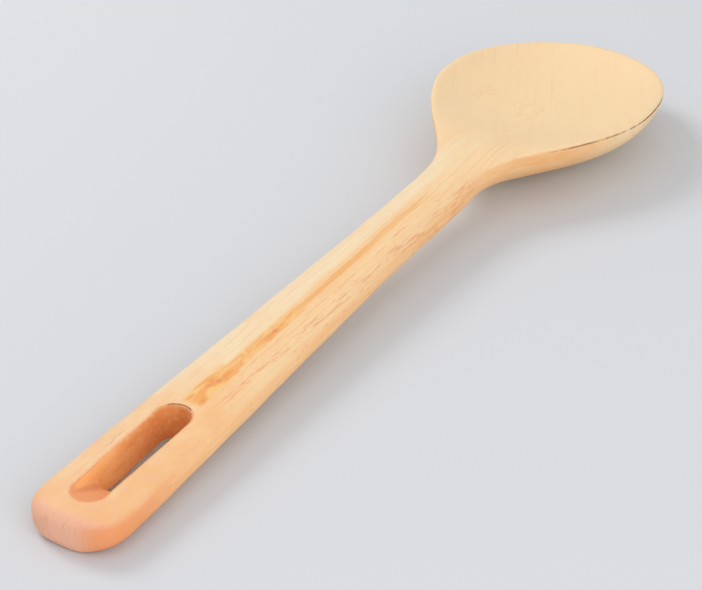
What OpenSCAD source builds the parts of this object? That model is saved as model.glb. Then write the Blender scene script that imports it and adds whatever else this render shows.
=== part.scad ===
// Wooden cooking spoon, carved from one piece, with a hanging slot through the handle.
// It lies bowl up. +X runs from the handle end to the bowl tip and +Z is up. The origin is
// under the middle of its length, on the surface that it lies on.

/* [Overall] */
// Overall length, from the handle end to the bowl tip
spoon_length = 300; // [290:1:320]

/* [Handle] */
// Width of the handle at its hanging end
handle_w = 28.5; // [26:0.5:32]
// Width of the neck, the narrowest place
neck_w = 17; // [15:0.5:20]
// Distance from the handle end to the narrowest place
neck_at = 195; // [185:1:197]
// Thickness of the handle at its hanging end
handle_t = 10; // [9:0.5:14]
// Height of the neck's top above the surface
neck_top = 18.5; // [17:0.5:20]
// Height of the neck's underside above the surface
neck_lift = 7; // [5:0.5:9]
// Length of the rounding at the handle end, seen from above
end_round = 13; // [10:0.5:15]
// Length of the rounding at the top of the handle end, seen from the side
end_top = 7; // [2:0.5:9]
// Length of the rounding at the bottom of the handle end, seen from the side
end_under = 2; // [1:0.5:6]

/* [Bowl] */
// Width of the bowl
bowl_w = 72.5; // [66:0.5:78]
// Distance from the handle end to the widest place of the bowl
bowl_at = 255; // [252:1:260]
// Width of the shoulder, where the outline turns fastest from neck to bowl
shoulder_w = 48.5; // [44:0.5:52]
// Distance from the handle end to that place
shoulder_at = 224; // [220:1:228]
// Height of the rim at the widest place, before its edge is rounded
rim_h = 19.5; // [18:0.5:22]
// Height of the rim at the bowl tip, before its edge is rounded
tip_h = 16; // [14:0.5:19]
// Depth of the hollow below the rim
hollow_depth = 10; // [7:0.5:12]
// Width of the wood between the hollow and the outer edge
rim_w = 1.5; // [1:0.5:4]

/* [Hanging slot] */
// Length of the slot's mouth in the top of the handle
slot_l = 44.5; // [30:0.5:50]
// Width of the slot's mouth
slot_w = 9.5; // [8:0.5:12]
// Wood left between the slot and the handle end
slot_inset = 8; // [7:0.5:12]
// Length of the sloping floor at the handle end of the slot, before it goes right through
scoop_l = 11; // [0:0.5:16]
// Slope of that floor, in degrees
scoop_angle = 20; // [10:1:30]
// Lean of the slot's walls, in degrees, which makes it narrower at the underside
slot_draft = 6; // [0:1:8]

/* [Hidden] */
wood_colour = [0.93, 0.76, 0.53];

// Outline, seen from above: knots of [distance from the handle end, half width, slope]
handle_taper = -0.015;
shoulder_slope = 0.66;
outline_knots = [
    [0, handle_w / 2, handle_taper],
    [neck_at, neck_w / 2, 0],
    [shoulder_at, shoulder_w / 2, shoulder_slope],
    [bowl_at, bowl_w / 2, 0],
];
end_power = 2.8;        // squareness of the rounded handle end
tip_power = 2.1;        // roundness of the bowl tip, where 2 is an ellipse

// Top line and underside, seen from the side: knots of [distance, height, slope]
top_knots = [
    [0, handle_t, (neck_top - handle_t) / neck_at],
    [neck_at, neck_top, (neck_top - handle_t) / neck_at],
    [bowl_at, rim_h, 0],
    [spoon_length, tip_h, (tip_h - rim_h) / (spoon_length - bowl_at)],
];
under_knots = [
    [0, 0, neck_lift / neck_at],
    [neck_at, neck_lift, 0],
    [bowl_at, 0, 0],
];
keel_power = 2.4;       // how fully the underside is rounded up to the bowl tip

// Cross-section: a soft oval along the handle, a rounded hull with a thin rim on the bowl
handle_power = 3;
hull_power = 1.9;
rim_power = 4.5;
rim_edge = 0.7;         // the widest line of the bowl lies this far below the rim
blend_from = neck_at - 12;
blend_to = neck_at + 18;

// Hollow of the bowl
hollow_from = neck_at + 12;
hollow_to = spoon_length - rim_w;
hollow_side_power = 2.6;
hollow_tip_power = 2.6;

// The loft: points around each ring, and rings along each stretch
ring_points = 48;
end_rings = 9;
shaft_rings = 16;
shoulder_rings = 20;
tip_rings = 12;
end_flat = 0.1;         // the loft's two end rings are cut this far into the roundings

function clamp01(t) = max(0, min(1, t));
function ease(t) = let (u = clamp01(t)) u * u * (3 - 2 * u);

// Height of an arch of unit half width: power 2 is a circle, a larger power is squarer
function arch(t, power) = pow(max(0, 1 - pow(min(1, abs(t)), power)), 1 / power);

// Smooth curve through knots of [place, value, slope]
function spline(knots, s, i = 0) =
    s <= knots[i + 1][0] || i == len(knots) - 2
        ? spline_span(knots[i], knots[i + 1], s)
        : spline(knots, s, i + 1);
function spline_span(a, b, s) =
    let (h = b[0] - a[0], t = (s - a[0]) / h, r = 1 - t)
    (1 + 2 * t) * r * r * a[1] + t * r * r * h * a[2]
        + (1 + 2 * r) * t * t * b[1] - r * t * t * h * b[2];

// How far along the tip a place is: 0 at the widest place, 1 at the tip
function tip_part(s) = clamp01((s - bowl_at) / (spoon_length - bowl_at));

function half_width(s) =
    spline(outline_knots, min(s, bowl_at))
        * arch(tip_part(s), tip_power)
        * arch(clamp01(1 - s / end_round), end_power);
function top_line(s) = spline(top_knots, s);
function under_line(s) =
    s < bowl_at ? spline(under_knots, s) : top_line(s) * (1 - arch(tip_part(s), keel_power));

// Depth of the hollow below the top line, at a distance along and an offset across
function hollow(s, y) =
    let (
        along = s < bowl_at
            ? ease((s - hollow_from) / (bowl_at - hollow_from))
            : 1 - pow(clamp01((s - bowl_at) / (hollow_to - bowl_at)), hollow_tip_power),
        across = half_width(s) - rim_w
    )
    across <= 0 ? 0 : hollow_depth * along * max(0, 1 - pow(abs(y) / across, hollow_side_power));

// One ring of the loft, as points around the spoon at one distance along it
function ring(place) =
    let (
        s = max(end_flat, min(spoon_length - end_flat, place)),
        blend = ease((s - blend_from) / (blend_to - blend_from)),
        w = half_width(s),
        half_t = (top_line(s) - under_line(s)) / 2,
        rise = half_t + blend * (min(rim_edge, half_t) - half_t),
        drop = 2 * half_t - rise,
        widest = top_line(s) - rise,
        top_eased = arch(clamp01(1 - s / end_top), end_power),
        under_eased = arch(clamp01(1 - s / end_under), end_power),
        top_power = handle_power + blend * (rim_power - handle_power),
        under_power = handle_power + blend * (hull_power - handle_power)
    )
    [for (k = [0 : ring_points - 1])
        let (
            turn = 360 * k / ring_points,
            side = cos(turn),
            y = w * side,
            z = turn < 180
                ? widest + top_eased * rise * arch(side, top_power) - hollow(s, y)
                : widest - under_eased * drop * arch(side, under_power)
        )
        [place - spoon_length / 2, y, z]];

// Closed solid through a list of rings
module loft(rings) {
    n = len(rings[0]);
    last = len(rings) - 1;
    skin = [for (i = [0 : last - 1], j = [0 : n - 1])
        let (a = i * n + j, b = i * n + (j + 1) % n)
        each [[a, b, b + n], [a, b + n, a + n]]];
    start_cap = [for (j = [n - 1 : -1 : 0]) j];
    end_cap = [for (j = [0 : n - 1]) last * n + j];
    polyhedron([for (one = rings) each one], concat(skin, [start_cap, end_cap]));
}

// Opening with round ends and leaning walls, between two distances from the handle end
module slot_opening(from, to) {
    lean = tan(slot_draft);
    depth = top_line(slot_inset + slot_l / 2);
    hull()
        for (s = [from + slot_w / 2, to - slot_w / 2])
            translate([s - spoon_length / 2, 0, -1])
                cylinder(r1 = slot_w / 2 - lean * (depth + 1), r2 = slot_w / 2 + lean * depth,
                    h = 2 * depth + 1, $fn = 32);
}

// The hanging slot: right through the handle, with a sloping floor at the handle end
module slot_cutter() {
    slot_end = slot_inset + slot_l;
    slot_opening(slot_inset + scoop_l, slot_end);
    intersection() {
        slot_opening(slot_inset, slot_end);
        translate([slot_inset - spoon_length / 2, 0, top_line(slot_inset)])
            rotate([0, scoop_angle, 0])
                translate([-slot_w, -slot_w, 0])
                    cube([2 * slot_l, 2 * slot_w, rim_h]);
    }
}

// Handle, up to the narrowest place of the neck, with the hanging slot through it
module handle() {
    places = [
        for (k = [0 : end_rings - 1]) end_round * (1 - cos(90 * k / end_rings)),
        for (k = [0 : shaft_rings]) end_round + (neck_at - end_round) * k / shaft_rings,
    ];
    color(wood_colour)
        difference() {
            loft([for (s = places) ring(s)]);
            slot_cutter();
        }
}

// Bowl, from the narrowest place of the neck to the tip
module bowl() {
    places = [
        for (k = [0 : shoulder_rings - 1]) neck_at + (bowl_at - neck_at) * k / shoulder_rings,
        for (k = [0 : tip_rings]) bowl_at + (spoon_length - bowl_at) * sin(90 * k / tip_rings),
    ];
    color(wood_colour) loft([for (s = places) ring(s)]);
}

bowl();
handle();
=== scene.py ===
"""Looks of a wooden cooking spoon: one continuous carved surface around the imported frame.

Lengths in the shape and material functions are millimetres, and s is the distance from the
handle end along the spoon. Everything that Blender holds is in metres, in the frame's own
coordinates.
"""
import math

import bpy
import numpy as np
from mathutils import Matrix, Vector


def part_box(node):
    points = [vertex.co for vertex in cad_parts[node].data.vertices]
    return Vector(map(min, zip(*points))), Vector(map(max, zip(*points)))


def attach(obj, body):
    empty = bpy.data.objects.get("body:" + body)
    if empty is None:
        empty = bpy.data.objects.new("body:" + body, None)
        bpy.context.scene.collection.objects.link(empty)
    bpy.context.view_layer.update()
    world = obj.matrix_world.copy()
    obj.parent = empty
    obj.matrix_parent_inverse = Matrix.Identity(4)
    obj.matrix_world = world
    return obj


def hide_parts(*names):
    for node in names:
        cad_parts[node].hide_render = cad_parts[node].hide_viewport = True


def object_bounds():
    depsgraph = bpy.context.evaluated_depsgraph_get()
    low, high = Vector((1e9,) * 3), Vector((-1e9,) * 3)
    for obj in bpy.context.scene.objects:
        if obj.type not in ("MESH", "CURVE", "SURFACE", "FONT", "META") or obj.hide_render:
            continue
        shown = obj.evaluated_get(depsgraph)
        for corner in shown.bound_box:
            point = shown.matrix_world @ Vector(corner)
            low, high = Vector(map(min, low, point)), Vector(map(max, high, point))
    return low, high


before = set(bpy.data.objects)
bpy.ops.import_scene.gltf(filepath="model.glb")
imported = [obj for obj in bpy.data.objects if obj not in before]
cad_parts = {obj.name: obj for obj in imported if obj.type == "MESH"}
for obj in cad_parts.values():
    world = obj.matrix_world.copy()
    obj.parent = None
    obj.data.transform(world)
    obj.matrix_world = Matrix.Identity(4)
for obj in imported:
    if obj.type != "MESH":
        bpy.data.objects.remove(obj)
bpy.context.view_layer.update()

MM = 0.001


# ---------------------------------------------------------------- sizes, from the frame

handle_low, handle_high = (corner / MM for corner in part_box("handle"))
bowl_low, bowl_high = (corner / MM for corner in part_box("bowl"))

SPOON_LENGTH = bowl_high.x - handle_low.x
NECK_AT = handle_high.x - handle_low.x
BOWL_W = bowl_high.y - bowl_low.y

# What the boxes don't hold is drawn as the CAD source draws it.
HANDLE_W, HANDLE_TAPER, HANDLE_T = 28.5, -0.015, 10.0
NECK_W, NECK_TOP, NECK_LIFT = 17.0, 18.5, 7.0
SHOULDER_AT, SHOULDER_W, SHOULDER_SLOPE = 224.0, 48.5, 0.66
BOWL_AT, RIM_H, TIP_H = 255.0, 19.5, 16.0
END_ROUND, END_TOP, END_UNDER, END_POWER = 13.0, 7.0, 2.0, 2.8
TIP_POWER, KEEL_POWER = 2.1, 2.4
HANDLE_POWER, HULL_POWER, RIM_POWER, RIM_EDGE = 3.0, 1.9, 4.5, 0.7
BLEND_FROM, BLEND_TO = NECK_AT - 12, NECK_AT + 18
HOLLOW_FROM, HOLLOW_DEPTH, RIM_W = NECK_AT + 12, 10.0, 1.5
HOLLOW_SIDE_POWER, HOLLOW_TIP_POWER = 2.6, 2.6
SLOT_INSET, SLOT_L, SLOT_W = 8.0, 44.5, 9.5
SCOOP_L, SCOOP_ANGLE, SLOT_DRAFT = 11.0, math.radians(20), math.radians(6)
END_FLAT = 0.1          # the two ends of the loft are cut this far into the roundings
HOLLOW_LEAST_W = 0.1    # stands in for half the hollow's width where the spoon is too narrow

# Softening that a finished spoon has and the CAD model leaves out
MOUTH_ROUND = 0.9       # radius of the sanded edge around the slot's mouth
UNDER_ROUND = 0.4       # radius of the slot's edge on the underside
SCOOP_ROUND = 1.5       # radius where the slot's sloping floor meets its walls
HAND_WAVE = 0.07        # height of the slight unevenness that hand sanding leaves

# How the visual mesh is made
VOXEL = 0.6             # size of its faces
SLOPE_STEP = 0.02       # step over which the slope of a surface is measured
LEAST_SLOPE = 0.01      # a surface's slope is taken to be at least this
LEAST_SLOPE_SQUARED = 0.3       # and the square of the finished surface's slope at least this
LONGEST_MOVE = 0.4      # a point moves no further than this in one round of settling
AROUND, AROUND_SLOT = 96, 64            # points around the rough loft and the slot's cutters
END_RINGS, TIP_RINGS, RING_GAP = 12, 24, 4


# ---------------------------------------------------------------- shape of the spoon

def clamp01(t):
    return np.clip(t, 0, 1)


def ease(t):
    """0 to 1 with level ends."""
    u = clamp01(t)
    return u * u * (3 - 2 * u)


def arch(t, power):
    """Arch of unit half width and height: power 2 is a circle, a larger power is squarer."""
    return np.maximum(0, 1 - clamp01(np.abs(t)) ** power) ** (1 / power)


def spline(knots, s):
    """Smooth curve through knots of (place, value, slope)."""
    result = np.zeros_like(s)
    for (s0, v0, m0), (s1, v1, m1) in zip(knots[:-1], knots[1:]):
        t = clamp01((s - s0) / (s1 - s0))
        r = 1 - t
        span = ((1 + 2 * t) * r * r * v0 + t * r * r * (s1 - s0) * m0
                + (1 + 2 * r) * t * t * v1 - r * t * t * (s1 - s0) * m1)
        result = np.where(s >= s0, span, result)
    return result


HANDLE_CLIMB = (NECK_TOP - HANDLE_T) / NECK_AT
OUTLINE = [
    (0, HANDLE_W / 2, HANDLE_TAPER),
    (NECK_AT, NECK_W / 2, 0),
    (SHOULDER_AT, SHOULDER_W / 2, SHOULDER_SLOPE),
    (BOWL_AT, BOWL_W / 2, 0),
]
TOP_LINE = [
    (0, HANDLE_T, HANDLE_CLIMB),
    (NECK_AT, NECK_TOP, HANDLE_CLIMB),
    (BOWL_AT, RIM_H, 0),
    (SPOON_LENGTH, TIP_H, (TIP_H - RIM_H) / (SPOON_LENGTH - BOWL_AT)),
]
UNDER_LINE = [(0, 0, NECK_LIFT / NECK_AT), (NECK_AT, NECK_LIFT, 0), (BOWL_AT, 0, 0)]


def tip_part(s):
    """How far along the tip a place is: 0 at the widest place, 1 at the tip."""
    return clamp01((s - BOWL_AT) / (SPOON_LENGTH - BOWL_AT))


def half_width(s):
    return (spline(OUTLINE, np.minimum(s, BOWL_AT)) * arch(tip_part(s), TIP_POWER)
            * arch(clamp01(1 - s / END_ROUND), END_POWER))


def section(s):
    """Widest line's height, rise above it, drop below it and the two squarenesses, at s."""
    top = spline(TOP_LINE, s)
    under = np.where(s < BOWL_AT, spline(UNDER_LINE, np.minimum(s, BOWL_AT)),
                     top * (1 - arch(tip_part(s), KEEL_POWER)))
    blend = ease((s - BLEND_FROM) / (BLEND_TO - BLEND_FROM))
    half = (top - under) / 2
    rise = half + blend * (np.minimum(RIM_EDGE, half) - half)
    top_eased = arch(clamp01(1 - s / END_TOP), END_POWER)
    under_eased = arch(clamp01(1 - s / END_UNDER), END_POWER)
    top_power = HANDLE_POWER + blend * (RIM_POWER - HANDLE_POWER)
    under_power = HANDLE_POWER + blend * (HULL_POWER - HANDLE_POWER)
    return top - rise, rise * top_eased, (2 * half - rise) * under_eased, top_power, under_power


def hollow(s, y):
    """Depth of the bowl's hollow below the rim."""
    towards_tip = clamp01((s - BOWL_AT) / (SPOON_LENGTH - RIM_W - BOWL_AT))
    along = np.where(s < BOWL_AT, ease((s - HOLLOW_FROM) / (BOWL_AT - HOLLOW_FROM)),
                     1 - towards_tip ** HOLLOW_TIP_POWER)
    across = np.maximum(half_width(s) - RIM_W, HOLLOW_LEAST_W)
    return HOLLOW_DEPTH * along * np.maximum(0, 1 - (np.abs(y) / across) ** HOLLOW_SIDE_POWER)


def wave(s, y, z):
    """Unevenness of a hand-finished surface: broad swells and shallower short ones."""
    swell = np.sin(s * 0.11 + 1.3 * np.sin(y * 0.21)) * np.cos(y * 0.33 + z * 0.4)
    short = np.sin(s * 0.31 + y * 0.52 - z * 0.7)
    return HAND_WAVE * (swell + 0.5 * short)


def soft_max(a, b, radius):
    """The larger of two distances, with a rounded edge where they meet."""
    rounded = np.hypot(np.maximum(a + radius, 0), np.maximum(b + radius, 0))
    return np.minimum(np.maximum(a, b), -radius) + rounded


def soft_min(a, b, radius):
    return -soft_max(-a, -b, radius)


MOUTH_START, MOUTH_END = SLOT_INSET, SLOT_INSET + SLOT_L
THROUGH_START = MOUTH_START + SCOOP_L
SCOOP_TOP = float(spline(TOP_LINE, np.array(SLOT_INSET)))
SLOT_DEPTH = float(spline(TOP_LINE, np.array(SLOT_INSET + SLOT_L / 2)))


def slot_radius(z):
    """Half the slot's width at a height: its walls lean in towards the underside."""
    return SLOT_W / 2 + math.tan(SLOT_DRAFT) * (z - SLOT_DEPTH)


def opening(s, y, z, start, end):
    """Distance from the leaning wall of an opening with round ends, negative inside it."""
    return np.hypot(s - np.clip(s, start + SLOT_W / 2, end - SLOT_W / 2), y) - slot_radius(z)


def slot(s, y, z):
    """Distance from the slot's walls and sloping floor, negative inside the slot."""
    under_floor = ((SCOOP_TOP - z) * math.cos(SCOOP_ANGLE)
                   - (s - MOUTH_START) * math.sin(SCOOP_ANGLE))
    scoop = soft_max(opening(s, y, z, MOUTH_START, MOUTH_END), under_floor, SCOOP_ROUND)
    return soft_min(scoop, opening(s, y, z, THROUGH_START, MOUTH_END), MOUTH_ROUND)


def over(p):
    """Zero on the top of the spoon and negative below it, without a fixed scale."""
    s, y, z = p
    at = np.clip(s, END_FLAT, SPOON_LENGTH - END_FLAT)
    widest, rise, _, power, _ = section(at)
    across = np.abs(y) / half_width(at)
    up = np.maximum(z + hollow(at, y) - widest, 0) / rise
    return (across ** power + up ** power) ** (1 / power) - 1


def below(p):
    """Zero on the underside of the spoon and negative above it, without a fixed scale."""
    s, y, z = p
    at = np.clip(s, END_FLAT, SPOON_LENGTH - END_FLAT)
    widest, _, drop, _, power = section(at)
    across = np.abs(y) / half_width(at)
    down = np.maximum(widest - z, 0) / drop
    return (across ** power + down ** power) ** (1 / power) - 1


def value_and_slope(surface, p):
    value = surface(p)
    ahead = [surface(p + SLOPE_STEP * axis[:, None]) for axis in np.eye(3)]
    return value, np.stack([(one - value) / SLOPE_STEP for one in ahead])


def distance(surface, p):
    """A surface's value, scaled to mm by its slope."""
    value, slope = value_and_slope(surface, p)
    return value / np.maximum(np.sqrt((slope ** 2).sum(0)), LEAST_SLOPE)


def field(p):
    """Distance in mm from the finished surface, negative in the wood."""
    s, y, z = p
    body = np.maximum(distance(over, p), distance(below, p))
    body = np.maximum(body, np.maximum(-s, s - SPOON_LENGTH)) + wave(s, y, z)
    edge = UNDER_ROUND + (MOUTH_ROUND - UNDER_ROUND) * ease(z / HANDLE_T)
    return soft_max(body, -slot(s, y, z), edge)


# ---------------------------------------------------------------- meshes

def closed_solid(name, rings):
    """Closed mesh object, in millimetres, through equally long rings of points."""
    count, around = len(rings), len(rings[0])
    faces = [(i * around + j, i * around + (j + 1) % around,
              (i + 1) * around + (j + 1) % around, (i + 1) * around + j)
             for i in range(count - 1) for j in range(around)]
    faces += [tuple(reversed(range(around))),
              tuple((count - 1) * around + j for j in range(around))]
    mesh = bpy.data.meshes.new(name)
    mesh.from_pydata(np.reshape(rings, (-1, 3)).tolist(), [], faces)
    made = bpy.data.objects.new(name, mesh)
    bpy.context.collection.objects.link(made)
    return made


def rough_spoon():
    """Plain loft of the spoon, without the slot, which the finished surface starts from."""
    turn = np.linspace(0, 2 * np.pi, AROUND, endpoint=False)
    side = np.cos(turn)
    ends = END_ROUND * (1 - np.cos(np.linspace(0, np.pi / 2, END_RINGS)))
    shaft = np.arange(END_ROUND + RING_GAP, BOWL_AT - 1, RING_GAP)
    tip = BOWL_AT + (SPOON_LENGTH - BOWL_AT) * np.sin(np.linspace(0, np.pi / 2, TIP_RINGS))
    rings = []
    for place in (*ends, *shaft, *tip):
        s = np.full_like(turn, np.clip(place, END_FLAT, SPOON_LENGTH - END_FLAT))
        widest, rise, drop, top_power, under_power = section(s)
        y = half_width(s) * side
        top = widest + rise * arch(side, top_power) - hollow(s, y)
        under = widest - drop * arch(side, under_power)
        z = np.where(turn < np.pi, top, under)
        rings.append(np.stack([np.full_like(turn, place), y, z], 1))
    return closed_solid("rough_spoon", rings)


def slot_cutter(name, start, end, lowest):
    """Solid of an opening with round ends, over the sloping floor or right through."""
    turn = np.linspace(0, 2 * np.pi, AROUND_SLOT, endpoint=False)
    centre = np.where(np.cos(turn) > 0, end - SLOT_W / 2, start + SLOT_W / 2)
    rings = []
    for z in (lowest, 2 * SLOT_DEPTH):
        x = centre + slot_radius(z) * np.cos(turn)
        floor = SCOOP_TOP - (x - start) * math.tan(SCOOP_ANGLE)
        height = np.maximum(z, floor) if lowest > 0 else np.full_like(x, z)
        rings.append(np.stack([x, slot_radius(z) * np.sin(turn), height], 1))
    return closed_solid(name, rings)


def rough_skin():
    """Mesh of small even faces over the rough spoon with a square-edged slot."""
    rough = rough_spoon()
    cutters = [slot_cutter("scoop", MOUTH_START, MOUTH_END, HANDLE_T / 3),
               slot_cutter("through", THROUGH_START, MOUTH_END, -1)]
    for cutter in cutters:
        cut = rough.modifiers.new(cutter.name, "BOOLEAN")
        cut.operation, cut.solver, cut.object = "DIFFERENCE", "EXACT", cutter
    skin = rough.modifiers.new("skin", "REMESH")
    skin.mode, skin.voxel_size = "VOXEL", VOXEL
    graph = bpy.context.evaluated_depsgraph_get()
    mesh = bpy.data.meshes.new_from_object(rough.evaluated_get(graph))
    for helper in (rough, *cutters):
        bpy.data.objects.remove(helper)
    return mesh


def settle(points, rounds):
    """Moves points along the field's slope until they lie on the finished surface."""
    for _ in range(rounds):
        value, slope = value_and_slope(field, points)
        move = -value * slope / np.maximum((slope ** 2).sum(0), LEAST_SLOPE_SQUARED)
        length = np.sqrt((move ** 2).sum(0))
        points = points + move * np.minimum(1, LONGEST_MOVE / np.maximum(length, 1e-9))
    return points


def relax(points, edges):
    """Moves each point half-way to the middle of its neighbours."""
    total, count = np.zeros_like(points), np.zeros(points.shape[1])
    for a, b in (edges.T, edges[:, ::-1].T):
        for axis in range(3):
            total[axis] += np.bincount(a, points[axis, b], points.shape[1])
        count += np.bincount(a, minlength=points.shape[1])
    return (points + total / count) / 2


def finished_spoon():
    """The spoon as one smooth mesh: the rough skin, settled on the finished surface."""
    mesh = rough_skin()
    points = np.empty(len(mesh.vertices) * 3)
    mesh.vertices.foreach_get("co", points)
    edges = np.empty(len(mesh.edges) * 2, dtype=np.int32)
    mesh.edges.foreach_get("vertices", edges)
    edges = edges.reshape(-1, 2)
    points = settle(points.reshape(-1, 3).T, 4)
    for _ in range(2):
        points = settle(relax(points, edges), 2)
    points[0] += handle_low.x
    mesh.vertices.foreach_set("co", (points * MM).T.ravel())
    mesh.shade_smooth()
    mesh.update()
    made = bpy.data.objects.new("spoon", mesh)
    bpy.context.collection.objects.link(made)
    return made


# ---------------------------------------------------------------- material building blocks

class Term:
    """A number in a material: arithmetic on terms adds math nodes."""

    def __init__(self, tree, source):
        self.tree, self.source = tree, source

    def math(self, operation, *others):
        node = self.tree.nodes.new("ShaderNodeMath")
        node.operation = operation
        for socket, value in zip(node.inputs, (self, *others)):
            connect(value, socket)
        return Term(self.tree, node.outputs[0])

    def __add__(self, other):
        return self.math("ADD", other)

    def __sub__(self, other):
        return self.math("SUBTRACT", other)

    def __mul__(self, other):
        return self.math("MULTIPLY", other)

    def __neg__(self):
        return self.math("MULTIPLY", -1)

    def larger(self, other):
        return self.math("MAXIMUM", other)

    def smaller(self, other):
        return self.math("MINIMUM", other)

    def size(self):
        return self.math("ABSOLUTE")

    def flip(self):
        """1 becomes 0 and 0 becomes 1."""
        return -self + 1

    def step(self, low, high):
        """Smooth step: 0 at low and 1 at high, which may be the smaller of the two."""
        node = self.tree.nodes.new("ShaderNodeMapRange")
        node.interpolation_type = "SMOOTHSTEP"
        for socket, value in zip(node.inputs, (self, low, high)):
            connect(value, socket)
        return Term(self.tree, node.outputs[0])

    def within(self, low, high, soft):
        """1 between low and high, fading to 0 over a soft margin outside them."""
        return self.step(low - soft, low) * self.step(high, high + soft).flip()


def connect(value, socket):
    """Feeds a socket from a term, or sets it to a plain number or colour."""
    if isinstance(value, Term):
        value.tree.links.new(value.source, socket)
    else:
        socket.default_value = value


def vector(x, y, z):
    node = x.tree.nodes.new("ShaderNodeCombineXYZ")
    for socket, value in zip(node.inputs, (x, y, z)):
        connect(value, socket)
    return Term(x.tree, node.outputs[0])


def noise(x, y, z, detail=2.0, roughness=0.5, distortion=0.0):
    """Noise of about -0.5 to 0.5 at a point given in units of its own grain."""
    node = x.tree.nodes.new("ShaderNodeTexNoise")
    node.inputs["Scale"].default_value = 1
    node.inputs["Detail"].default_value = detail
    node.inputs["Roughness"].default_value = roughness
    node.inputs["Distortion"].default_value = distortion
    connect(vector(x, y, z), node.inputs["Vector"])
    return Term(x.tree, node.outputs[0]) - 0.5


def flecks(x, y, z, size, share):
    """Small spots in a share of the cells of a grid, 1 inside a spot."""
    node = x.tree.nodes.new("ShaderNodeTexVoronoi")
    node.inputs["Scale"].default_value = 1
    connect(vector(x, y, z), node.inputs["Vector"])
    split = x.tree.nodes.new("ShaderNodeSeparateColor")
    x.tree.links.new(node.outputs["Color"], split.inputs[0])
    chosen = Term(x.tree, split.outputs[0]).step(share, share - 0.02)
    return Term(x.tree, node.outputs["Distance"]).step(size, size * 0.4) * chosen


def linear(colour):
    """A colour as a screen shows it, turned into the scene's linear light."""
    return tuple(((c + 0.055) / 1.055) ** 2.4 for c in colour) + (1.0,)


def mixed(base, colour, amount):
    """The base colour with a share of another laid over it; the share is a term."""
    node = amount.tree.nodes.new("ShaderNodeMix")
    node.data_type = "RGBA"
    connect(amount, node.inputs[0])
    for socket, one in zip(node.inputs[6:8], (base, colour)):
        connect(one if isinstance(one, Term) else linear(one), socket)
    return Term(amount.tree, node.outputs[2])


class Place:
    """Where a shaded point is: along, across and up the spoon in mm, and which way it faces."""

    def __init__(self, tree):
        coordinates = tree.nodes.new("ShaderNodeTexCoord").outputs["Object"]
        x, y, z = self.split(tree, coordinates)
        self.s = x * (1 / MM) - handle_low.x
        self.y, self.z = y * (1 / MM), z * (1 / MM)
        normal = tree.nodes.new("ShaderNodeNewGeometry").outputs["Normal"]
        self.nx, self.ny, self.nz = self.split(tree, normal)

    @staticmethod
    def split(tree, source):
        node = tree.nodes.new("ShaderNodeSeparateXYZ")
        tree.links.new(source, node.inputs[0])
        return [Term(tree, output) for output in node.outputs]

    def noise(self, along, across, up, *look):
        """Noise with so many grains to the mm along, across and up the spoon."""
        return noise(self.s * along, self.y * across, self.z * up, *look)

    def drift(self, along, lane):
        """Noise that changes along the spoon only; the lane picks one of many."""
        return noise(self.s * along, *lane)


# ---------------------------------------------------------------- wood

CREAM = (0.96, 0.845, 0.675)        # clean pale sapwood
PAINTED_LIGHT_PALE = (0.955, 0.875, 0.735)        # painted light: the palest tone, on the handle's far side
HONEY_TONE_AND_SHADE = (0.96, 0.80, 0.60)          # warmer wood of the neck; on the handle's near side and side faces it is also painted shade
STREAK = (0.91, 0.71, 0.49)         # darker grain lines
OCHRE = (0.935, 0.67, 0.37)         # stripe along the handle
AMBER_TONE_AND_SHADE = (0.95, 0.67, 0.40)          # warm side faces: the side grain's tone with painted shade
PEACH = (0.95, 0.735, 0.52)         # soft clouds on the handle and around the slot
RUSSET = (0.90, 0.58, 0.40)         # rows of smeared dashes on the near side
GOLD = (0.96, 0.76, 0.46)           # yellowish ground of the stained spots
MOTTLE = (0.94, 0.63, 0.34)         # stained spots
CORE = (0.88, 0.52, 0.30)           # reddish middle of a stained spot
FLECK = (0.80, 0.52, 0.35)          # short dark dashes of the beech grain
END_PINK = (0.95, 0.72, 0.60)       # end grain
END_PEACH = (0.945, 0.715, 0.51)    # wood rounded over the top of the handle end
END_ORANGE = (0.915, 0.585, 0.37)   # warm corner of the handle end
SLOT_WALL = (0.98, 0.73, 0.47)      # bare wood inside the slot, its orange partly painted shade and bounced light
SLOT_DEEP = (0.88, 0.565, 0.32)     # the slot's far end, darker; part of the slot's painted shade
SLOT_FLOOR = (0.93, 0.62, 0.42)     # the slot's sloping floor
CRACK_AND_RIM_SHADOW = (0.31, 0.18, 0.11)          # fine splits and a chip beside the slot, and the painted shadow line at the rim

# Where the marks lie, as stretches along the spoon and across it, in mm from its middle line.
# The near side is the one with negative y.
FAR_LIT_RUN = (60, 185)
STRIPE_RUN, STRIPE_BOLD = (74, 166), (122, 138)
STRIPE_LINE, STRIPE_GLOW = (-2.2, -0.8), (-3.6, 0.4)
NEAR_RUN = (8, 190)
CLOUDS_BY_SLOT, CLOUDS_FADE = (2, 50), (205, 180)
PATCH_RUN, PATCH_ACROSS = (57, 72), (-3.4, 1.5)
TRAIL_RUN, TRAIL_ACROSS = (72, 102), (-2.8, 0.0)
CORE_PLACES, CORE_Y = (67, 94), -1.6
DASH_RUN = (66, 186)
FAINT_ROW, BOLD_ROW = (-5.4, -4.8), (-8.8, -7.4)
WALL_STAIN, WARM_FADE = (207, 226), (246, 226)
RIM_SHADOW_THIN, RIM_SHADOW_THICK, RIM_SHADOW_END = (217, 225), (243, 258), (296, 286)
BOWL_ROW, BOWL_ROW_ACROSS = (253, 260), (4, 22)
BOWL_INSIDE, SHAFT_FADE, GRAIN_FADE = (215, 235), (238, 200), (262, 190)
END_RIM, END_FACE, END_CORNER = (15, 3), (14, 4), (46, 4)
END_BLOTCHES = (4, 34)
SLOT_DARKENS, LIP_DARKENS = (24, 50), (44, 51)
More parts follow.
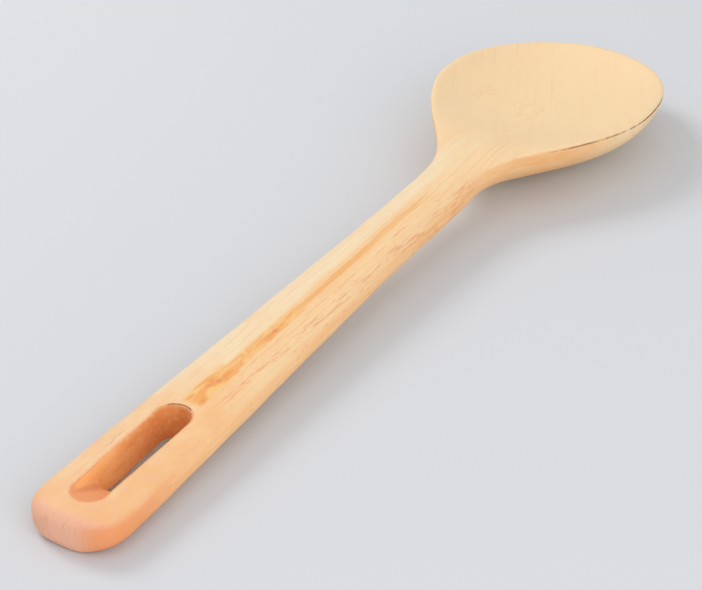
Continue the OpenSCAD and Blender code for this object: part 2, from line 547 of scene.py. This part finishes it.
SPLIT_RUN, SPLIT_ACROSS = (30, 36), (7.25, 7.35)
CHIP_FROM, CHIP_ACROSS = (47, 49), (-2.6, 3.8)
STREAK_TURN = (0.89, 0.45)          # direction of the bowl's slanting streaks: along, across


def plain_wood(at, broad, fine, hair):
    """Cream wood, warmer along the handle, with painted light paling its far side and darker
    grain lines.
    """
    colour = mixed(CREAM, HONEY_TONE_AND_SHADE, (broad * 2.2 + 0.35) * at.s.step(*SHAFT_FADE))
    # painted light: the handle's far side is made paler, as if lit more
    colour = mixed(colour, PAINTED_LIGHT_PALE, at.y.step(0.3, 2.5) * at.s.within(*FAR_LIT_RUN, 30) * 0.75)
    lines = fine.step(-0.04, 0.24) * 0.5 + hair.step(0.02, 0.26) * 0.4
    where = at.s.step(*GRAIN_FADE).larger(at.nz.step(0.3, -0.2)) * 0.8 + 0.2
    return mixed(colour, STREAK, lines * where * (at.y.step(0, -3) * 0.35 + 0.65))


def stripe_colour(at, colour, fine, stripe_y, ragged):
    """Ochre stripe along the top of the handle, in a faint wider band."""
    top = at.nz.step(0.5, 0.9)
    run = at.s.within(*STRIPE_RUN, 16)
    strength = run * (at.s.within(*STRIPE_BOLD, 20) * 0.4 + 0.6)
    line = (stripe_y + ragged * 1.8).within(*STRIPE_LINE, 0.6) * strength
    colour = mixed(colour, OCHRE, line * top * (fine * 2.2 + 0.9))
    band = (stripe_y + ragged).within(*STRIPE_GLOW, 1.2) * run * top
    return mixed(colour, OCHRE, band * 0.22)


def near_side_shade_and_lines(at, colour, stripe_y):
    """Painted shade, a warmer and darker tone, between the stripe and the near edge of the
    handle, with pale grain lines in it.
    """
    below_stripe = stripe_y.step(-1.5, -4.0) * at.s.within(*NEAR_RUN, 15)
    # painted shade: below the stripe the near side is made warmer and darker, as if turned from
    # the light
    colour = mixed(colour, HONEY_TONE_AND_SHADE, below_stripe * 0.6)
    pale_lines = noise(at.s * 0.02, at.y * 1.9 + 5, at.z * 0.6, 3, 0.6).step(0.02, 0.2)
    return mixed(colour, CREAM, below_stripe * pale_lines * 0.7)


def cloud_colour(at, colour):
    """Soft peach clouds, strongest around the slot."""
    cloud = at.noise(0.07, 0.16, 0.12, 4, 0.65)
    around_slot = at.s.within(*CLOUDS_BY_SLOT, 26) * (at.y.step(-2.5, -6.0) * 0.3 + 0.65)
    colour = mixed(colour, PEACH, around_slot * cloud.step(-0.3, 0.12))
    return mixed(colour, PEACH, cloud.step(0.0, 0.2) * at.s.step(*CLOUDS_FADE) * 0.35)


def stain_colour(at, colour, ragged):
    """Stained patch beyond the slot, its trail along the stripe and two reddish cores."""
    blotch = at.noise(0.15, 0.42, 0.4, 3, 0.6, 0.7)
    patch = at.s.within(*PATCH_RUN, 3) * at.y.within(*PATCH_ACROSS, 1.2)
    trail = at.s.within(*TRAIL_RUN, 8) * at.y.within(*TRAIL_ACROSS, 0.9) * 0.7
    stained = patch.larger(trail)
    colour = mixed(colour, GOLD, stained * 0.75)
    colour = mixed(colour, MOTTLE, stained * blotch.step(-0.08, 0.06) * 0.75)
    colour = mixed(colour, CORE, stained * blotch.step(0.08, 0.2) * 0.5)
    top = at.nz.step(0.5, 0.9)
    for core_at in CORE_PLACES:
        away = ((at.s - core_at) * 0.45).size() + (at.y - CORE_Y).size()
        colour = mixed(colour, CORE, (away + ragged * 0.8).step(1.1, 0.4) * top * 0.6)
    return colour


def handle_colour(at, colour, fine):
    """The handle's stripe, painted shade and pale lines on its near side, clouds and stains."""
    stripe_y = at.y + at.drift(0.05, (0.3, 0.7)) * 1.4
    ragged = at.noise(0.25, 0.9, 0.5, 4, 0.65)
    colour = stripe_colour(at, colour, fine, stripe_y, ragged)
    colour = near_side_shade_and_lines(at, colour, stripe_y)
    colour = cloud_colour(at, colour)
    return stain_colour(at, colour, ragged)


def dashes(at):
    """Sparse and crowded short dashes along the grain, and smeared rows on the near side."""
    side = at.y.step(-2.2, -5.5) * at.s.within(*DASH_RUN, 12)
    sparse = flecks(at.s * 0.3, at.y * 2.8, at.z * 1.4, 0.32, 0.14)
    crowd = flecks(at.s * 0.2 + 7, at.y * 1.9, at.z * 1.2, 0.36, 0.3)
    sway = at.y + at.drift(0.03, (0.9, 0.2)) * 1.6
    rows = (sway.within(*FAINT_ROW, 0.6) * 0.7).larger(sway.within(*BOLD_ROW, 0.8))
    smear = at.noise(0.11, 1.6, 0.8, 4, 0.7).step(-0.02, 0.14)
    return sparse * (side * 0.1 + 0.25), crowd * side * 0.22, smear * rows * side


def facing_out(at):
    """1 where the surface faces away from the spoon's middle line, to either side."""
    return (at.y * at.ny).step(0, 6)


def side_colour(at, colour):
    """Warmer tone on the faces that look sideways and on the bowl's outer wall, partly the side
    grain's own tone and partly painted shade, with stains on the wall.
    """
    sideways = at.nz.step(0.75, 0.15) * facing_out(at)
    lines = at.noise(0.02, 0.1, 0.8, 3, 0.55)
    cloud = at.noise(0.07, 0.15, 0.35, 3, 0.6)
    # painted shade: faces that look sideways are made warmer and darker, on top of the side
    # grain's warmer tone
    warm = sideways * at.s.step(*WARM_FADE)
    colour = mixed(colour, HONEY_TONE_AND_SHADE, warm * 0.7)
    colour = mixed(colour, AMBER_TONE_AND_SHADE, warm * (lines * 1.2 + 0.32))
    wall = sideways * at.s.within(*WALL_STAIN, 12)
    return mixed(colour, MOTTLE, wall * (cloud * 1.4 + 0.15))


def rim_shadow_line(at, colour):
    """Painted shadow: a fine dark line just below the near rim, broken at first, heavier towards
    the tip.
    """
    after = ((at.s - BOWL_AT) * (1 / (SPOON_LENGTH - BOWL_AT))).larger(0)
    before = ((-at.s + BOWL_AT) * (1 / (BOWL_AT - NECK_AT))).larger(0)
    fall = after * after * (-after + 2) * (RIM_H - TIP_H) + before * before * 0.7
    outer = facing_out(at).larger(at.nx.step(0.2, 0.5))
    line = (at.z + fall).within(RIM_H - 1.2, RIM_H - 0.85, 0.2) * at.y.step(0, -1) * outer
    broken = at.drift(0.4, (0.5, 0.1)).step(-0.25, 0.05)
    thin = at.s.step(*RIM_SHADOW_THIN) * broken * 0.65
    thick = at.s.step(*RIM_SHADOW_THICK) * at.s.step(*RIM_SHADOW_END)
    # painted shadow line where the near rim's crest meets its outer wall
    return mixed(colour, CRACK_AND_RIM_SHADOW, line * thin.larger(thick))


def bowl_colour(at, colour):
    """Faint slanting streaks in the hollow and a broken row of stained patches."""
    turn_s, turn_y = STREAK_TURN
    slant_along = at.s * turn_s + at.y * turn_y
    slant_across = at.y * turn_s - at.s * turn_y
    inside = at.s.step(*BOWL_INSIDE) * at.nz.step(0.5, 0.8)
    streak = noise(slant_along * 0.035, slant_across * 0.9, 0.5, 3, 0.6)
    colour = mixed(colour, STREAK, inside * streak.step(0.0, 0.25) * 0.22)
    row = (at.s + at.y * 0.1).within(*BOWL_ROW, 4) * at.y.within(*BOWL_ROW_ACROSS, 4)
    blotch = noise(at.s * 0.24, at.y * 0.22, 0.2, 4, 0.65, 0.8)
    return mixed(colour, STREAK, row * inside * blotch.step(-0.06, 0.2) * 0.45)


def end_colour(at, colour):
    """Peach wood and pinkish end grain on the handle end, orange towards its near corner."""
    cloud = at.noise(0.2, 0.2, 0.2, 3, 0.6)
    rim = (at.s + cloud * 10).step(*END_RIM) * (at.y.step(4, -8) * 0.3 + 0.6)
    colour = mixed(colour, END_PEACH, rim)
    blotch = at.noise(0.3, 0.35, 0.3, 3, 0.6, 0.5).step(0.0, 0.14)
    top = at.s.within(*END_BLOTCHES, 16) * at.nz.step(0.2, 0.8)
    colour = mixed(colour, END_PINK, blotch * top * 0.4)
    face = at.nx.step(-0.1, -0.6) * at.s.step(*END_FACE)
    colour = mixed(colour, END_PINK, face)
    lines = noise(at.y * 2.2, at.z * 0.22, at.s * 0.4, 3, 0.6)
    colour = mixed(colour, FLECK, face * lines.step(0.0, 0.28) * 0.45)
    corner = (at.s + cloud * 16).step(*END_CORNER) * at.y.step(-3, -11) * at.nz.step(0.97, 0.5)
    return mixed(colour, END_ORANGE, corner * 0.9)


def from_slot(at):
    """Distance from the slot's wall in mm, negative inside the slot."""
    nearest = at.s.larger(MOUTH_START + SLOT_W / 2).smaller(MOUTH_END - SLOT_W / 2)
    along = at.s - nearest
    lean = (-at.z + SLOT_DEPTH) * math.tan(SLOT_DRAFT)
    return (along * along + at.y * at.y).math("SQRT") + lean - SLOT_W / 2


def slot_inside(at):
    """1 on the slot's walls and floor, 0 outside its mouth."""
    ragged = at.noise(0.7, 0.7, 0.7) * 0.7
    return (from_slot(at) + ragged).step(0.75, 0.2) * at.nz.step(-0.6, -0.3)


def slot_colour(at, colour):
    """Orange in the slot, partly bare wood and partly painted shade and bounced light, darker
    towards its far end and around its lip.
    """
    streak = at.noise(0.1, 0.3, 0.45, 3, 0.55)
    # painted shade: the walls inside the slot darken towards its far end
    wall = mixed(SLOT_WALL, SLOT_DEEP, at.s.step(*SLOT_DARKENS) * 0.9)
    wall = mixed(wall, CORE, streak.step(-0.08, 0.2) * 0.5)
    wall = mixed(wall, SLOT_FLOOR, at.nz.step(0.5, 0.85))
    return mixed(colour, wall, slot_inside(at))


def slot_edge_colour(at, colour):
    """Warm lip around the slot's mouth, a fine split beside it and a chip at its far end."""
    top = at.nz.step(0.2, 0.5)
    wobble = at.drift(0.6, (0.1, 0.4)) * 1.2
    lip = (from_slot(at) + wobble * 0.4).within(0.3, 0.8, 0.4)
    lip = lip * (at.s.step(*LIP_DARKENS) * 0.6 + 0.4)
    colour = mixed(colour, CORE, lip * top * 0.5)
    split = (at.y + wobble).within(*SPLIT_ACROSS, 0.15) * at.s.within(*SPLIT_RUN, 1.5)
    chip = (from_slot(at) + wobble * 0.5).within(0.75, 0.85, 0.25) * at.s.step(*CHIP_FROM)
    broken = noise(at.s * 0.5, at.y * 0.4, 0.6, 3).step(-0.14, 0.04)
    chip = chip * at.y.within(*CHIP_ACROSS, 0.8) * broken
    return mixed(colour, CRACK_AND_RIM_SHADOW, (split * 0.3 + chip * 0.8) * top)


def wood_material():
    """Beech with its grain along the spoon: broad bands, fine lines, hair lines and dashes."""
    material = bpy.data.materials.new("beech")
    material.use_nodes = True
    tree = material.node_tree
    at = Place(tree)
    across = at.y + at.noise(0.012, 0.05, 0.05) * 6
    broad = noise(at.s * 0.008, across * 0.22, at.z * 0.25, 3)
    fine = noise(at.s * 0.03, across * 1.5, at.z * 0.4, 4, 0.6)
    hair = at.noise(0.12, 5, 2.5, 2, 0.6)
    sparse, crowd, smear = dashes(at)
    colour = plain_wood(at, broad, fine, hair)
    colour = handle_colour(at, colour, fine)
    colour = rim_shadow_line(at, side_colour(at, colour))
    colour = bowl_colour(at, colour)
    colour = mixed(colour, RUSSET, smear * 0.7)
    colour = mixed(colour, FLECK, (sparse + crowd).smaller(0.6))
    colour = end_colour(at, colour)
    colour = slot_edge_colour(at, slot_colour(at, colour))
    shader = tree.nodes["Principled BSDF"]
    connect(colour, shader.inputs["Base Color"])
    worn = at.noise(0.06, 0.12, 0.12, 3)
    connect(worn * 0.25 + fine * 0.2 + slot_inside(at) * 0.15 + 0.56, shader.inputs["Roughness"])
    shader.inputs["Specular IOR Level"].default_value = 0.32
    bump = tree.nodes.new("ShaderNodeBump")
    bump.inputs["Strength"].default_value = 0.5
    bump.inputs["Distance"].default_value = 0.08 * MM
    connect(fine * 0.8 + hair * 0.7 - (sparse + crowd + smear * 0.3) * 0.6, bump.inputs["Height"])
    tree.links.new(bump.outputs[0], shader.inputs["Normal"])
    return material


# ---------------------------------------------------------------- stage, light and camera

FLOOR_SIZE, FLOOR_GREY = 6, (0.84, 0.85, 0.87)
DOME_LIGHT = 0.68
# Area lights that point at the origin: place, size in metres, power in watts and colour
KEY = ((0.15, 0.85, 0.75), 0.5, 4.6, (1, 0.98, 0.95))
FILL = ((-0.45, -0.75, 0.35), 1.0, 4.2, (1, 0.98, 0.96))
# The camera looks at VIEW_AIM from this side, height angle and distance.
VIEW_AZIMUTH, VIEW_ELEVATION, VIEW_DISTANCE = -58.2, 31.4, 0.65
VIEW_AIM = Vector((-0.0234, -0.0059, 0.010))
SENSOR_W, LENS = 36.0, 117.35


def floor_material():
    material = bpy.data.materials.new("pale_floor")
    material.use_nodes = True
    shader = material.node_tree.nodes["Principled BSDF"]
    shader.inputs["Base Color"].default_value = linear(FLOOR_GREY)
    shader.inputs["Roughness"].default_value = 0.75
    shader.inputs["Specular IOR Level"].default_value = 0.2
    return material


def add_floor():
    bpy.ops.mesh.primitive_plane_add(size=FLOOR_SIZE)
    floor = bpy.context.object
    floor.name = "floor"
    floor.location.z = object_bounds()[0].z
    floor.data.materials.append(floor_material())


def add_area_light(name, place, size, power, colour):
    data = bpy.data.lights.new(name, "AREA")
    data.shape, data.size, data.energy, data.color = "DISK", size, power, colour
    light = bpy.data.objects.new(name, data)
    light.location = place
    light.rotation_euler = (-Vector(place)).to_track_quat("-Z", "Y").to_euler()
    bpy.context.collection.objects.link(light)


def add_light():
    world = bpy.data.worlds.new("studio")
    bpy.context.scene.world = world
    world.use_nodes = True
    world.node_tree.nodes["Background"].inputs["Color"].default_value = (1, 1, 1, 1)
    world.node_tree.nodes["Background"].inputs["Strength"].default_value = DOME_LIGHT
    add_area_light("key", *KEY)
    add_area_light("fill", *FILL)


def add_camera():
    azimuth, elevation = math.radians(VIEW_AZIMUTH), math.radians(VIEW_ELEVATION)
    back = Vector((math.sin(azimuth) * math.cos(elevation),
                   -math.cos(azimuth) * math.cos(elevation), math.sin(elevation)))
    data = bpy.data.cameras.new("camera")
    data.sensor_width, data.lens = SENSOR_W, LENS
    camera = bpy.data.objects.new("camera", data)
    camera.location = VIEW_AIM + back * VIEW_DISTANCE
    camera.rotation_euler = back.to_track_quat("Z", "Y").to_euler()
    bpy.context.collection.objects.link(camera)
    bpy.context.scene.camera = camera


bpy.context.scene.view_settings.view_transform = "Standard"

spoon = finished_spoon()
spoon.data.materials.append(wood_material())
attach(spoon, "root")
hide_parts("bowl", "handle")

add_floor()
add_light()
add_camera()
